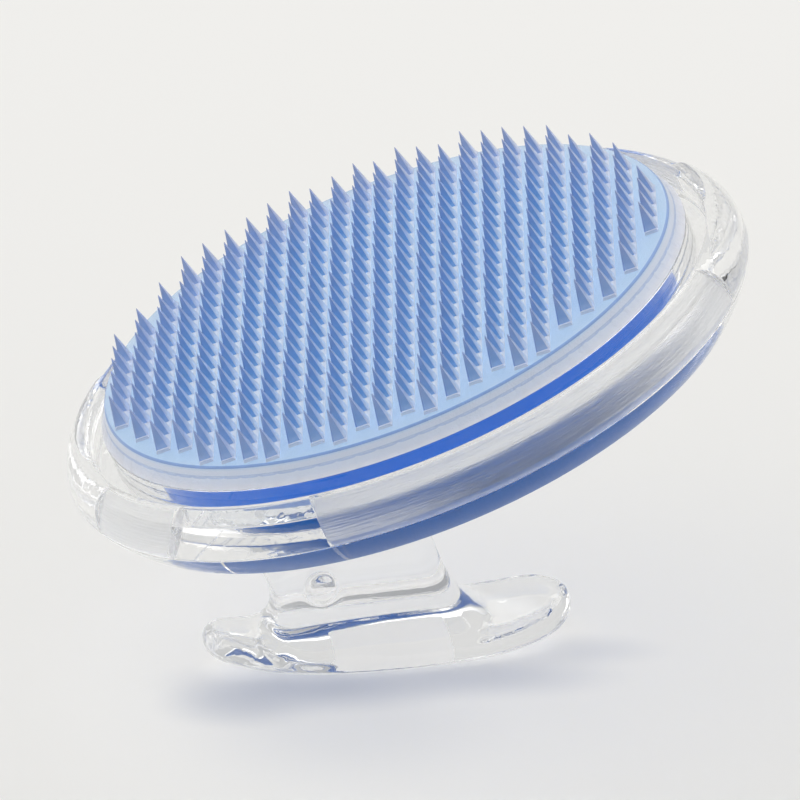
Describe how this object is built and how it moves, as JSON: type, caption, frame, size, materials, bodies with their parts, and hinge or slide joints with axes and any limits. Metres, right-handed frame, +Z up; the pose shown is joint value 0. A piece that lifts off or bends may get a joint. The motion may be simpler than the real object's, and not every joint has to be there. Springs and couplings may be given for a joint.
{
  "type": "scalp massager brush",
  "caption": "Round palm brush with toothed soft ribs on a blue plate in a clear scooped rim, and a clear post with a curved palm plate.",
  "frame": {"origin": "on the floor under the handle's plate, below the middle of the whole brush: the middle of the bounding box's base", "axes": "+Z up with the bristles up, +Y along the ribs, +X towards the high side of the leaning head"},
  "size_m": [0.094, 0.1, 0.0719],
  "materials": {
    "clear_plastic": "clear, polished",
    "blue_plastic": "glossy, opaque",
    "bristle_rubber": "soft, translucent"
  },
  "bodies": {
    "root": {"clear_body": "clear_plastic", "pad_ring": "clear_plastic", "blue_plate": "blue_plastic", "bristle_pad": "bristle_rubber", "bristle_ribs": "bristle_rubber", "handle": "clear_plastic"}
  },
  "joints": []
}
